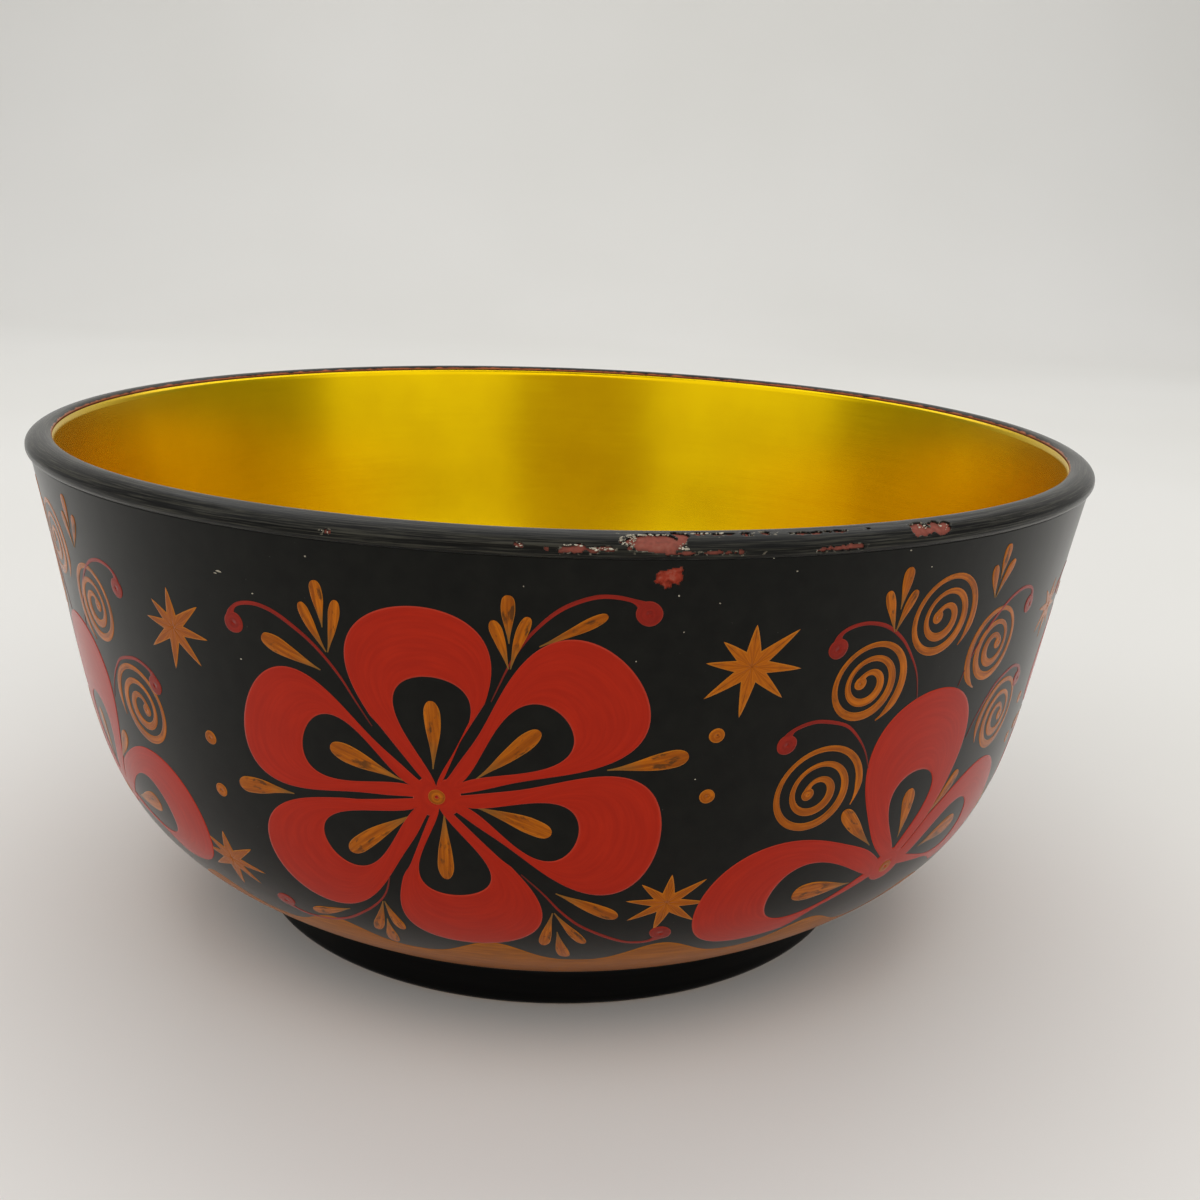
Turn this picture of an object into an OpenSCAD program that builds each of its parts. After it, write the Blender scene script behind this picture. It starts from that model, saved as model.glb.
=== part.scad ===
// Khokhloma bowl: a linden blank turned with its foot in one piece, primed, gilded inside,
// blacked outside and painted with a brush. The origin is the middle of the ring it stands on.
// Each coat and each group of brush strokes is a layer of its own, laid on the one below.

/* [Bowl] */
// Outer diameter over the lip
rim_d = 161; // [152:1:170]
// Height from the table to the top of the lip
bowl_h = 75.4; // [68:0.2:84]
// Outer diameter of the foot
foot_d = 99; // [92:1:106]
// Height of the foot's straight side
foot_h = 5.6; // [4.6:0.2:7]
// Height of the inside floor over the table
floor_z = 12; // [10.5:0.5:14]
// Thickness of the lip, over all its coats
lip_t = 3.7; // [3.4:0.1:4.4]

/* [Coats] */
// Thickness of the clay and oil primer
primer_t = 0.25; // [0.2:0.05:0.3]
// Thickness of the gilding, and of the black ground
coat_t = 0.25; // [0.2:0.05:0.3]
// Height of a brush stroke at its ridge
stroke_t = 0.16; // [0.1:0.02:0.3]

/* [Pattern] */
// Height of the flowers' centres over the table
flower_z = 42.4; // [40:0.2:46]
// Height of the leaf fans' centres over the table
fan_z = 26.6; // [25:0.2:29]
// Scallops round the border over the foot
scallops = 20; // [12:1:26]

/* [Hidden] */

rounds = 180;
rim_r = rim_d / 2;
foot_r = foot_d / 2;

// ------------------------------------------------------------------ section of the turned bowl
// Cubic curve through n + 1 points, from its two ends and two handles
function bezier(p, n) = [for (i = [0:n]) let(t = i / n)
    pow(1 - t, 3) * p[0] + 3 * t * pow(1 - t, 2) * p[1] + 3 * t * t * (1 - t) * p[2] + pow(t, 3) * p[3]];
function reversed(line) = [for (i = [len(line) - 1:-1:0]) line[i]];
function left_normal(line, i) =
    let(run = line[min(i + 1, len(line) - 1)] - line[max(i - 1, 0)], n = norm(run))
    [-run[1] / n, run[0] / n];
// The line sunk by d under the surface, which lies to the right of its direction
function sunk(line, d) = [for (i = [0:len(line) - 1]) line[i] - d * left_normal(line, i)];

// The finished surface, as lines of [radius, height] that run on from one another:
// inside floor and wall, lip, outer wall downwards, foot downwards
lip_in = [rim_r - lip_t, bowl_h - 0.8];
neck = [rim_r - 0.6, bowl_h - 2.7];
heel = [foot_r + 0.6, foot_h + 0.6];
inner_wall = bezier([lip_in, [rim_r * 0.87, bowl_h * 0.42], [rim_r * 0.86, floor_z + 0.5],
    [rim_r * 0.34, floor_z]], 28);
inner_line = concat([[0, floor_z]], reversed(inner_wall));
lip_line = concat(
    bezier([lip_in, lip_in + [0.1, 1.5], [rim_r, bowl_h - 0.3], [rim_r, bowl_h - 1.7]], 10),
    bezier([[rim_r, bowl_h - 1.9], [rim_r, bowl_h - 2.2], neck + [0.4, 0.2], neck], 4));
wall_up = bezier([heel, [rim_r * 0.945, bowl_h * 0.274], [rim_r * 0.893, bowl_h * 0.377], neck], 40);
wall_line = reversed(wall_up);
foot_line = [heel, [foot_r, foot_h - 0.1], [foot_r - 0.3, 1], [foot_r - 0.6, 0.4]];

// The ring that the bowl stands on, and the recess turned inside it
ring_out = foot_r - 1.3;
ring_in = foot_r - 8;
recess_z = 2.6;
under_line = [[ring_in - 0.5, 0.4], [ring_in - 1.6, recess_z - 0.6], [ring_in - 3.4, recess_z],
    [0, recess_z]];

// Neighbouring layers share these points, so that they meet face to face
function on_axis(p) = [0, p[1]];
function floor_at(d) = let(l = sunk(inner_line, d)) concat([on_axis(l[0])], [for (i = [1:len(l) - 1]) l[i]]);
function under_at(d) = let(l = sunk(under_line, d), n = len(l) - 1)
    concat([for (i = [0:n - 1]) l[i]], [on_axis(l[n])]);
function outside_at(d) = concat(sunk(lip_line, d), sunk(wall_line, d), sunk(foot_line, d));

module turned(outline) rotate_extrude($fn = rounds) polygon(outline);
module skin(outer, inner) turned(concat(outer, reversed(inner)));

wood_depth = coat_t + primer_t;

module wooden_body() color("BurlyWood")
    turned(concat(floor_at(wood_depth), outside_at(wood_depth), [[ring_out, 0], [ring_in, 0]],
        under_at(wood_depth)));

module primer_coat() color("Sienna") {
    skin(concat(floor_at(coat_t), outside_at(coat_t)), concat(floor_at(wood_depth), outside_at(wood_depth)));
    skin(under_at(coat_t), under_at(wood_depth));
}

module gold_lining() color("Goldenrod") skin(floor_at(0), floor_at(coat_t));
module rim_band() color("#1c1b19") skin(lip_line, sunk(lip_line, coat_t));
module black_ground() color("#211f1c") skin(wall_line, sunk(wall_line, coat_t));
module foot_coat() color("#171614") skin(foot_line, sunk(foot_line, coat_t));
module underside_coat() color("#171614") skin(under_at(0), under_at(coat_t));

// ---------------------------------------------------------------------- places on the outer wall
// Length along the wall from the heel, and the wall's radius, height and outward normal there
wall_run = [for (i = 0, run = 0; i < len(wall_up);
    run = run + (i + 1 < len(wall_up) ? norm(wall_up[i + 1] - wall_up[i]) : 0), i = i + 1) run];
wall_r = [for (i = [0:len(wall_up) - 1]) [wall_run[i], wall_up[i][0]]];
wall_z = [for (i = [0:len(wall_up) - 1]) [wall_run[i], wall_up[i][1]]];
wall_nr = [for (i = [0:len(wall_up) - 1]) [wall_run[i], -left_normal(wall_up, i)[0]]];
wall_nz = [for (i = [0:len(wall_up) - 1]) [wall_run[i], -left_normal(wall_up, i)[1]]];
run_at_z = [for (i = [0:len(wall_up) - 1]) [wall_up[i][1], wall_run[i]]];

// Strokes start just clear of the black ground, so that their flat facets never cut into it
clear = 0.05;
ridge = clear + stroke_t;

// A motif is [turn round the bowl in degrees, length along the wall, size]. A place on it is [x, y]
// in millimetres, x round the wall to the right and y up it, and h is the height over the ground.
function laid(motif, p, h) =
    let(run = motif[1] + motif[2] * p[1], r = lookup(run, wall_r),
        turn = motif[0] + motif[2] * p[0] / r * 180 / PI, out = r + h * lookup(run, wall_nr))
    [out * sin(turn), -out * cos(turn), lookup(run, wall_z) + h * lookup(run, wall_nz)];

// Four flowers and four leaf fans take turns round the bowl. The painter gave the front ones more
// room, so the rest are a little smaller.
full_size = 1;
less = 0.94;
flower_run = lookup(flower_z, run_at_z);
fan_run = lookup(fan_z, run_at_z);
flowers = [[-10.4, flower_run, full_size], [81, flower_run, less], [169.6, flower_run, less],
    [258, flower_run, less]];
fans = [[37.8, fan_run, full_size], [125.6, fan_run, less], [213.4, fan_run, less],
    [301.6, fan_run, full_size]];

// --------------------------------------------------------------------------- meshes of strokes
// A stroke is [points, triangles]: rings of equally many points, closed by a point at each end
function ring_faces(n, k, first, wrap) = [for (j = [0:n - (wrap ? 1 : 2)]) for (e = [0:k - 1])
    let(a = first + j * k + e, b = first + j * k + (e + 1) % k,
        c = first + ((j + 1) % n) * k + e, d = first + ((j + 1) % n) * k + (e + 1) % k)
    each [[a, b, c], [b, d, c]]];
function stroke(start, rings, end) =
    let(n = len(rings), k = len(rings[0]), last = n * k + 1)
    [concat([start], [for (ring = rings) each ring], [end]),
        concat([for (e = [0:k - 1]) [0, 1 + (e + 1) % k, 1 + e]],
            ring_faces(n, k, 1, false),
            [for (e = [0:k - 1]) [last, last - k + e, last - k + (e + 1) % k]])];
function band(rings) = [[for (ring = rings) each ring], ring_faces(len(rings), len(rings[0]), 0, true)];

// All the strokes as one mesh of separate closed shells
module painted(strokes) {
    firsts = [for (i = 0, n = 0; i < len(strokes); n = n + len(strokes[i][0]), i = i + 1) n];
    polyhedron([for (s = strokes) each s[0]],
        [for (i = [0:len(strokes) - 1]) for (f = strokes[i][1]) [for (v = f) v + firsts[i]]]);
}

// ----------------------------------------------------------------------------- kinds of stroke
// Half-width, over the widest, of a drop at t from its point (0) to its head (1). A fuller drop
// is widest nearer its head.
function bulge(t, full) = pow(t, (full + 1) / 2) * sqrt(1 - t);
function swell(t, full) = bulge(t, full) / bulge((full + 1) / (full + 2), full);

function across(p, q) = let(d = q - p, n = norm(d)) [-d[1] / n, d[0] / n];

// A ridged cross-section: right edge, ridge, left edge
function ridged(motif, p, side, half) =
    [laid(motif, p - half * side, clear), laid(motif, p, ridge), laid(motif, p + half * side, clear)];

drop_stops = [0.25, 0.55, 0.85];
function drop(motif, point, head, width, full = 1.4) = let(side = across(point, head))
    stroke(laid(motif, point, clear),
        [for (t = drop_stops) ridged(motif, point + t * (head - point), side, width / 2 * swell(t, full))],
        laid(motif, head, clear));

// A thin line through its points, from a fine start to a thicker end
function trail(motif, line, fine, thick) = let(n = len(line) - 1)
    stroke(laid(motif, line[0], clear),
        [for (i = [1:n - 1])
            ridged(motif, line[i], across(line[i - 1], line[i + 1]), fine + (thick - fine) * i / n)],
        laid(motif, line[n], clear));

// A low peak over p inside a rim of places
function cone(motif, p, rim) = let(n = len(rim))
    [concat([laid(motif, p, ridge), laid(motif, p, clear)], [for (q = rim) laid(motif, q, clear)]),
        [for (i = [0:n - 1]) let(a = 2 + i, b = 2 + (i + 1) % n) each [[0, b, a], [1, a, b]]]];

dot_sides = 10;
function dot(motif, p, r) =
    cone(motif, p, [for (i = [0:dot_sides - 1]) let(a = i * 360 / dot_sides) p + r * [cos(a), sin(a)]]);

// A star of tapering rays round p, with the rays' lengths in turn from the first one's angle
star_waist = 1.5;
function star(motif, p, rays, first) = let(n = len(rays))
    cone(motif, p, [for (i = [0:2 * n - 1]) let(a = first + i * 180 / n)
        p + (i % 2 == 0 ? rays[i / 2] : star_waist) * [cos(a), sin(a)]]);

// A coil of thinning line, from the middle outwards. way is 1 for anticlockwise, -1 for clockwise.
coil_stops = 10;
function coil(motif, centre, r, turns, first, way) =
    let(n = round(turns * coil_stops), start = 0.6,
        at = function(i) let(a = first + way * i * 360 / coil_stops)
            centre + (start + (r - start) * i / n) * [cos(a), sin(a)])
    stroke(laid(motif, at(0), clear),
        [for (i = [1:n - 1]) ridged(motif, at(i), across(at(i - 1), at(i + 1)), 0.6 - 0.2 * i / n)],
        laid(motif, at(n), clear));

// A petal is [axis in degrees, start, length, width, fullness], from its motif's centre. It is a
// band between its own outline and its heart's, which shows the ground.
petal_stops = 18;
function leaf_edge(leaf, a) = let(t = (1 - cos(a)) / 2, side = sign(sin(a)),
        u = leaf[1] + leaf[2] * t, v = side * leaf[3] / 2 * swell(t, leaf[4]))
    [u * cos(leaf[0]) - v * sin(leaf[0]), u * sin(leaf[0]) + v * cos(leaf[0])];
function petal(motif, leaf, heart) = band([for (i = [0:petal_stops - 1])
    let(a = i * 360 / petal_stops, outer = leaf_edge(leaf, a), inner = leaf_edge(heart, a),
        middle = (outer + inner) / 2)
    [laid(motif, outer, clear), laid(motif, middle, clear), laid(motif, inner, clear),
        laid(motif, middle, ridge)]]);

// ------------------------------------------------------------------------------- the flower
flower_petals = [
    [[96, 1.3, 22.8, 16.8, 1.3], [91, 2.6, 12.9, 9, 1.6]],
    [[38, 1.3, 26.9, 16.4, 2], [36, 3.5, 14.9, 7.6, 2]],
    [[-13.5, 1.3, 25.2, 17.2, 2], [-17, 3.4, 13.5, 8.2, 2]],
    [[-79.5, 1.3, 22.9, 17.5, 1.3], [-81.5, 2.6, 11.8, 8.8, 1.6]],
    [[-144, 1.4, 25.3, 16.5, 1.6], [-144.5, 3, 14.2, 7.9, 2]],
    [[161, 1.3, 24.5, 16.2, 2], [159.5, 3, 14.4, 8.5, 2]]];
flower_drops = [[[-0.3, 4], [-0.3, 12.4], 1.9], [[5, 3], [11.9, 9.3], 1.9], [[5.3, -1.4], [13.3, -3.9], 2.3],
    [[0.8, -3.6], [0.6, -11.6], 1.6], [[-4.2, -4.1], [-11.3, -9.5], 2.2], [[-5, 1.9], [-12.8, 5], 2.4]];
flower_side_drops = [[[-13.3, 14.6], [-20.9, 17.4], 2.1], [[13, 20.9], [19.6, 24.1], 1.3],
    [[21, 4.9], [29.1, 6.3], 2.4], [[-18.8, -2.9], [-26.6, -3.2], 2.4], [[14.4, -13.7], [21, -17], 1.8],
    [[-14.4, -20.6], [-19, -23.2], 1.6]];
// Each sprig is its foot and the heads of its left, middle and right leaves
flower_sprigs = [[[-12.4, 17.4], [-15.2, 23], [-13, 26], [-10.8, 23.8]],
    [[8.4, 18.2], [6.9, 23], [8.6, 26.1], [10.6, 23.9]],
    [[13.2, -17.2], [11.6, -23.4], [13.8, -26.2], [15.8, -22.8]],
    [[-8.2, -18.2], [-10, -24.2], [-8.1, -26.6], [-6.4, -23.4]]];
flower_tendrils = [
    [[-9.6, 11.6], [-11.4, 14.5], [-13.4, 17.1], [-16, 19.2], [-18.9, 20.7], [-21.9, 21.5], [-24.4, 20.9],
        [-25.4, 19.4]],
    [[9.4, 18.5], [11.2, 20.8], [13.4, 23.5], [15.6, 25.3], [18, 26.4], [20.8, 26.5], [23.2, 25.6]],
    [[12.4, -14], [14.2, -16.6], [16.2, -18.8], [18.4, -20.5], [20.8, -21.8], [23.2, -22.4], [24.8, -21.8]],
    [[-7.2, -15.2], [-8.9, -17.5], [-11.2, -20.2], [-14, -22.7], [-17, -24.3], [-20.3, -24.8],
        [-22.7, -23.7]]];
flower_bulbs = [[-24.6, 18.1], [24.2, 24.3], [26, -21], [-23.3, -22.4]];
flower_bulb_r = 1.2;

// ------------------------------------------------------------------------------ the leaf fan
fan_petals = [
    [[91, 1.4, 25.9, 18, 1], [89.5, 3, 13, 8.1, 1.6]],
    [[176.6, 1.4, 27.3, 17.3, 1], [180, 4, 15.3, 9.4, 1.3]],
    [[3.4, 1.4, 27.3, 17.3, 1], [0, 4, 15.3, 9.4, 1.3]]];
fan_drops = [[[0, 5.5], [-0.4, 13.5], 2], [[-7, -0.2], [-15.4, 0.2], 3], [[7, -0.2], [15.4, 0.2], 3]];
fan_side_drops = [[[-5.9, 6.4], [-10.6, 11.4], 1.7], [[5.9, 6.4], [10.6, 11.4], 1.7]];
fan_sprigs = [[[-10.3, 38.4], [-13.2, 42.6], [-11, 45.2], [-9.2, 42.4]],
    [[7.6, 38.6], [5.6, 43], [7.6, 45.6], [10.4, 43]]];
left_tendrils = [
    [[-10.8, 19.4], [-12.4, 21.9], [-14.6, 24.2], [-17.2, 25.7], [-20, 26.1], [-21.8, 25.3]],
    [[-4.2, 28.2], [-5, 30.4], [-6.6, 32.8], [-9, 35.2], [-12, 37.4], [-15, 38.1], [-17.6, 37.4]]];
left_bulbs = [[-22.5, 24.1], [-18.6, 36]];
fan_bulb_r = 1.2;
// Each coil is its centre, radius, turns, first angle and way
fan_coils = [[[-17, 16.8], 6.2, 2.7, 150, -1], [[-13, 30.3], 5.5, 2.8, 150, -1],
    [[-2.2, 38.6], 5.6, 2.6, 160, -1], [[10.4, 30.6], 5.5, 2.7, 30, 1], [[17.2, 18.2], 6, 2.7, 30, 1]];

function flipped(line) = [for (p = line) [-p[0], p[1]]];
fan_tendrils = concat(left_tendrils, [for (line = left_tendrils) flipped(line)]);
fan_bulbs = concat(left_bulbs, flipped(left_bulbs));

// ------------------------------------------------------------- stars and dots between motifs
star_rays = [6.3, 6.6, 5.5, 4.7, 5.3, 6.1, 6.1, 5.7];
star_first = -6;
// Each is the turn from its flower, the rise from the flower's centre and the size
front_stars = [[26.8, 17.2, 1], [-26, 15.6, 1], [21.6, -14.6, 0.86], [-25.4, -16.4, 0.86]];
other_stars = [[22.4, 17, 0.85], [-22.4, 16, 0.85], [17.6, -15.4, 0.5], [-23, -14.6, 0.55]];
front_dots = [[24.2, 8.8], [24, 0.7], [-23.6, 2], [-23.5, -5.4]];
other_dots = [[21.6, 8.4], [21.4, 0.7], [-21.4, 2], [-21.2, -4.4]];
dot_r = 0.95;
heart_dot_r = 1.1;

// ------------------------------------------------------------------------------- the border
border_low = 6.5;
border_trough = 18.4;
scallop_rise = 3.4;
scallop_first = -6;
scallop_stops = 5;
border_steps = scallops * scallop_stops;
border_rows = 4;
function scallop_top(i) = border_trough + scallop_rise * pow((1 + cos(i * 360 / scallop_stops)) / 2, 1.4);

module scalloped_border() color("#b06a1c") painted([band([for (i = [0:border_steps - 1])
    let(motif = [scallop_first + i * 360 / border_steps, 0, 1], low = [0, border_low],
        rise = [0, scallop_top(i) - border_low])
    concat([for (j = [border_rows:-1:0]) laid(motif, low + rise * j / border_rows, clear)],
        [for (j = [1:border_rows - 1]) laid(motif, low + rise * j / border_rows, ridge)])])]);

module red_petals() color("#a82a1c") painted(concat(
    [for (m = flowers) for (p = flower_petals) petal(m, p[0], p[1])],
    [for (m = fans) for (p = fan_petals) petal(m, p[0], p[1])]));

module red_tendrils() color("#9c3028") painted(concat(
    [for (m = flowers) for (line = flower_tendrils) trail(m, line, 0.2, 0.6)],
    [for (m = flowers) for (p = flower_bulbs) dot(m, p, flower_bulb_r)],
    [for (m = fans) for (line = fan_tendrils) trail(m, line, 0.2, 0.6)],
    [for (m = fans) for (p = fan_bulbs) dot(m, p, fan_bulb_r)]));

module petal_drops() color("#c87a18") painted(concat(
    [for (m = flowers) for (d = flower_drops) drop(m, d[0], d[1], d[2])],
    [for (m = fans) for (d = fan_drops) drop(m, d[0], d[1], d[2])]));

// The middle leaf starts part of the way up, between the other two
leaf_w = 1.5;
foot_gap = [0.3, 0];
function sprig(motif, s) = [drop(motif, s[0] - foot_gap, s[1], leaf_w),
    drop(motif, s[0] + 0.45 * (s[2] - s[0]), s[2], leaf_w), drop(motif, s[0] + foot_gap, s[3], leaf_w)];

module leaf_sprigs() color("#c07a20") painted(concat(
    [for (m = flowers) for (s = flower_sprigs) each sprig(m, s)],
    [for (m = flowers) for (d = flower_side_drops) drop(m, d[0], d[1], d[2])],
    [for (m = fans) for (s = fan_sprigs) each sprig(m, s)],
    [for (m = fans) for (d = fan_side_drops) drop(m, d[0], d[1], d[2])]));

module ochre_spirals() color("#c07a20")
    painted([for (m = fans) for (c = fan_coils) coil(m, c[0], c[1], c[2], c[3], c[4])]);

function beside(flower, turn, size) = [flower[0] + turn, flower[1], size];
function stars_by(flower, list) =
    [for (s = list) star(beside(flower, s[0], s[2]), [0, s[1] / s[2]], star_rays, star_first)];
function dots_by(flower, list) = [for (d = list) dot(beside(flower, d[0], 1), [0, d[1]], dot_r)];

module ochre_stars() color("#c07a20") painted(concat(stars_by(flowers[0], front_stars),
    [for (i = [1:len(flowers) - 1]) each stars_by(flowers[i], other_stars)]));

module ochre_dots() color("#c87a18") painted(concat(dots_by(flowers[0], front_dots),
    [for (i = [1:len(flowers) - 1]) each dots_by(flowers[i], other_dots)],
    [for (m = concat(flowers, fans)) dot(m, [0, 0], heart_dot_r)]));

wooden_body();
primer_coat();
gold_lining();
rim_band();
black_ground();
foot_coat();
underside_coat();
scalloped_border();
red_petals();
red_tendrils();
petal_drops();
leaf_sprigs();
ochre_spirals();
ochre_stars();
ochre_dots();
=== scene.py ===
import math

import bmesh
import bpy
import numpy as np
from mathutils import Matrix, Vector, noise


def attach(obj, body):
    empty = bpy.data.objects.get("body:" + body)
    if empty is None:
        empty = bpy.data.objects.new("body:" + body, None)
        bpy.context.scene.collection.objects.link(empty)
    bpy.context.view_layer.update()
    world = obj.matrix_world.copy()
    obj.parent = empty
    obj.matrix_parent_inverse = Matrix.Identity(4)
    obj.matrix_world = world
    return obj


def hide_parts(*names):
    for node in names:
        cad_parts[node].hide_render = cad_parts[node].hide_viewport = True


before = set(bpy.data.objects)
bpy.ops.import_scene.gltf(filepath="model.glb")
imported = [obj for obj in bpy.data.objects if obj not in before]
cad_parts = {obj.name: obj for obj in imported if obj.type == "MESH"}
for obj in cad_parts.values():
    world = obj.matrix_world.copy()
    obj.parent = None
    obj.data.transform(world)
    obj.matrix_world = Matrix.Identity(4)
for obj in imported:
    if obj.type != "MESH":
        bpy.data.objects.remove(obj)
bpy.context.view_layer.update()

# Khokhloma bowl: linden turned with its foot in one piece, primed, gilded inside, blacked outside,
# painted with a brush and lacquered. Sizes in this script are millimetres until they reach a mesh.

MM = 0.001

# ------------------------------------------------------------------------- the turned bowl's section
RIM_R = 80.5
BOWL_H = 75.4
FOOT_R = 49.5
FOOT_H = 5.6
FLOOR_Z = 12
LIP_T = 3.7
PRIMER_T = 0.25
COAT_T = 0.25
# Each layer is made a little thinner than its share, so that it never meets the one below it
PRIMER_LAID = 0.9 * PRIMER_T
COAT_LAID = 0.92 * COAT_T


def bezier(handles, count):
    """Points on a cubic curve, from its two ends and two handles."""
    t = np.linspace(0, 1, count + 1)[:, None]
    p = np.array(handles, float)
    return (1 - t) ** 3 * p[0] + 3 * t * (1 - t) ** 2 * p[1] + 3 * t * t * (1 - t) * p[2] + t ** 3 * p[3]


def run_along(line):
    """Length along a line, at each of its points."""
    return np.r_[0, np.cumsum(np.linalg.norm(np.diff(line, axis=0), axis=1))]


def at_runs(line, runs):
    """Points of a line at the given lengths along it."""
    own = run_along(line)
    return np.stack([np.interp(runs, own, line[:, k]) for k in range(line.shape[1])], axis=-1)


def spaced(line, step):
    """The same line with its points evenly spaced, about step apart."""
    length = run_along(line)[-1]
    return at_runs(line, np.linspace(0, length, max(2, round(length / step) + 1)))


def left_normals(line):
    way = np.gradient(line, axis=0)
    way /= np.linalg.norm(way, axis=1)[:, None]
    return np.stack([-way[:, 1], way[:, 0]], axis=1)


lip_in = np.array([RIM_R - LIP_T, BOWL_H - 0.8])
neck = np.array([RIM_R - 0.6, BOWL_H - 2.7])
heel = np.array([FOOT_R + 0.6, FOOT_H + 0.6])
inside = [[RIM_R * 0.34, FLOOR_Z], [RIM_R * 0.86, FLOOR_Z + 0.5], [RIM_R * 0.87, BOWL_H * 0.42], lip_in]
inner_line = np.vstack([[0.02, FLOOR_Z], bezier(inside, 90)])
lip_line = np.vstack([
    bezier([lip_in, lip_in + [0.1, 1.5], [RIM_R, BOWL_H - 0.3], [RIM_R, BOWL_H - 1.7]], 40),
    bezier([[RIM_R, BOWL_H - 1.9], [RIM_R, BOWL_H - 2.2], neck + [0.4, 0.2], neck], 16)])
wall_up = bezier([heel, [RIM_R * 0.945, BOWL_H * 0.274], [RIM_R * 0.893, BOWL_H * 0.377], neck], 300)
wall_line = wall_up[::-1]
foot_line = np.array([heel, [FOOT_R, FOOT_H - 0.1], [FOOT_R - 0.3, 1], [FOOT_R - 0.6, 0.4]])
ring_in = FOOT_R - 8
recess_z = 2.6
under_line = np.array([[ring_in - 0.5, 0.4], [ring_in - 1.6, recess_z - 0.6], [ring_in - 3.4, recess_z],
                       [0.02, recess_z]])

wall_run = run_along(wall_up)
wall_out = -left_normals(wall_up)
lip_run = run_along(lip_line)
lip_out = left_normals(lip_line)
WALL_LENGTH = wall_run[-1]


def spun(turns, radii, heights):
    """Places at the given turns round the bowl, 0 at the front and growing to the right."""
    a = np.radians(turns)
    return np.stack([radii * np.sin(a), -radii * np.cos(a), heights + 0 * a], axis=-1)


def on_line(line, own, out, turns, runs, lift):
    """Places at a height above a turned line, from lengths along it. own and out are the lengths and
    the outward directions at the line's own points."""
    r, z = (np.interp(runs, own, line[:, k]) + lift * np.interp(runs, own, out[:, k]) for k in (0, 1))
    return spun(turns, r, z)


def on_wall(turns, runs, lift):
    """Places at a height above the outer wall, from lengths up the wall from its heel."""
    return on_line(wall_up, wall_run, wall_out, turns, runs, lift)


def on_lip(turns, runs, lift):
    """Places at a height above the lip, from lengths across it from its inner edge."""
    return on_line(lip_line, lip_run, lip_out, turns, runs, lift)


# ------------------------------------------------------------------------------------------- meshes
def new_piece(name, points, faces, layers, material, slot, *nodes):
    """Makes a piece of the model: its mesh, its shading values, its finish and the nodes it stands for,
    if any."""
    mesh = bpy.data.meshes.new(name)
    mesh.from_pydata((points * MM).tolist(), [], faces.tolist())
    for key, values in layers.items():
        kind = "FLOAT" if values.ndim == 1 else "FLOAT_VECTOR"
        field = "value" if values.ndim == 1 else "vector"
        mesh.attributes.new(key, kind, "POINT").data.foreach_set(field, values.astype(np.float32).ravel())
    work = bmesh.new()
    work.from_mesh(mesh)
    bmesh.ops.remove_doubles(work, verts=work.verts, dist=1e-9)
    bmesh.ops.recalc_face_normals(work, faces=work.faces)
    work.to_mesh(mesh)
    work.free()
    mesh.shade_smooth()
    mesh.materials.append(material)
    piece = bpy.data.objects.new(name, mesh)
    bpy.context.scene.collection.objects.link(piece)
    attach(piece, "root")
    if nodes:
        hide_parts(*nodes)


def grid_faces(rows, columns, closed):
    """Quads over a grid of points numbered row by row; closed joins the last row to the first."""
    i, j = np.meshgrid(np.arange(rows if closed else rows - 1), np.arange(columns - 1), indexing="ij")
    a, b = (i * columns + j).ravel(), ((i + 1) % rows * columns + j).ravel()
    return np.stack([a, b, b + 1, a + 1], axis=1)


def coat(line, depth, thickness, turns, keep=None):
    """A closed coat turned round a line, its outside sunk by depth. Where keep, an array of rows by
    turns, is False, the coat is chipped away. Returns points, faces and the layer "turned"."""
    rows, columns = len(line), len(turns)
    out = left_normals(line)
    keep = np.ones((rows - 1, columns), bool) if keep is None else keep
    run = run_along(line)
    points = []
    for sunk in (depth, depth + thickness):
        at = line - sunk * out
        r, turn = np.meshgrid(at[:, 0], turns, indexing="ij")
        z = np.repeat(at[:, 1:], columns, axis=1)
        points.append(spun(turn, r, z).reshape(-1, 3))
    inner = rows * columns
    i, j = np.nonzero(keep)
    right = (j + 1) % columns
    a, b, c, d = i * columns + j, i * columns + right, (i + 1) * columns + right, (i + 1) * columns + j
    faces = [np.stack([a, b, c, d], 1), np.stack([d, c, b, a], 1) + inner]
    # Walls of the coat where it ends: across its top and bottom lines, and beside its chips
    framed = np.pad(keep, ((1, 1), (0, 0)))
    i, j = np.nonzero(framed[1:] != framed[:-1])
    a, b = i * columns + j, i * columns + (j + 1) % columns
    faces.append(np.stack([a, b, b + inner, a + inner], 1))
    i, j = np.nonzero(keep != np.roll(keep, 1, axis=1))
    a, b = i * columns + j, (i + 1) * columns + j
    faces.append(np.stack([a, b, b + inner, a + inner], 1))
    turned = spun(*np.meshgrid(turns, [RIM_R], indexing="xy"), 0)
    turned = np.repeat(turned, rows, axis=0)
    turned[..., 2] = run[:, None]
    return np.vstack(points), np.vstack(faces), {"turned": np.tile(turned.reshape(-1, 3), (2, 1))}


# --------------------------------------------------------------------------------- wear and chips
# Chips in the black at the rim: turn, place across the lip from its inner edge, half-length and
# half-height. The rim took its knocks at the front right.
RIM_CHIPS = [
    [7.1, 3.6, 3.3, 1.25], [9.2, 2.7, 1, 0.5], [12.2, 2.3, 3.4, 0.14], [0.8, 4.66, 1.3, 0.36],
    [2.9, 4.62, 1.3, 0.2], [-3.3, 4.53, 0.3, 0.22], [-1.2, 4.74, 0.14, 0.14], [10.9, 4.97, 1.7, 0.08],
    [22.9, 5, 2.2, 0.26], [20.4, 2.7, 2.6, 0.08], [30.4, 3.4, 1.5, 1], [32.9, 3.6, 1.4, 0.85],
    [31.8, 2.8, 1.1, 0.3], [-18.4, 4.6, 0.4, 0.2], [150, 3.8, 2.2, 0.4], [236, 4.4, 1.4, 0.35]]
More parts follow.
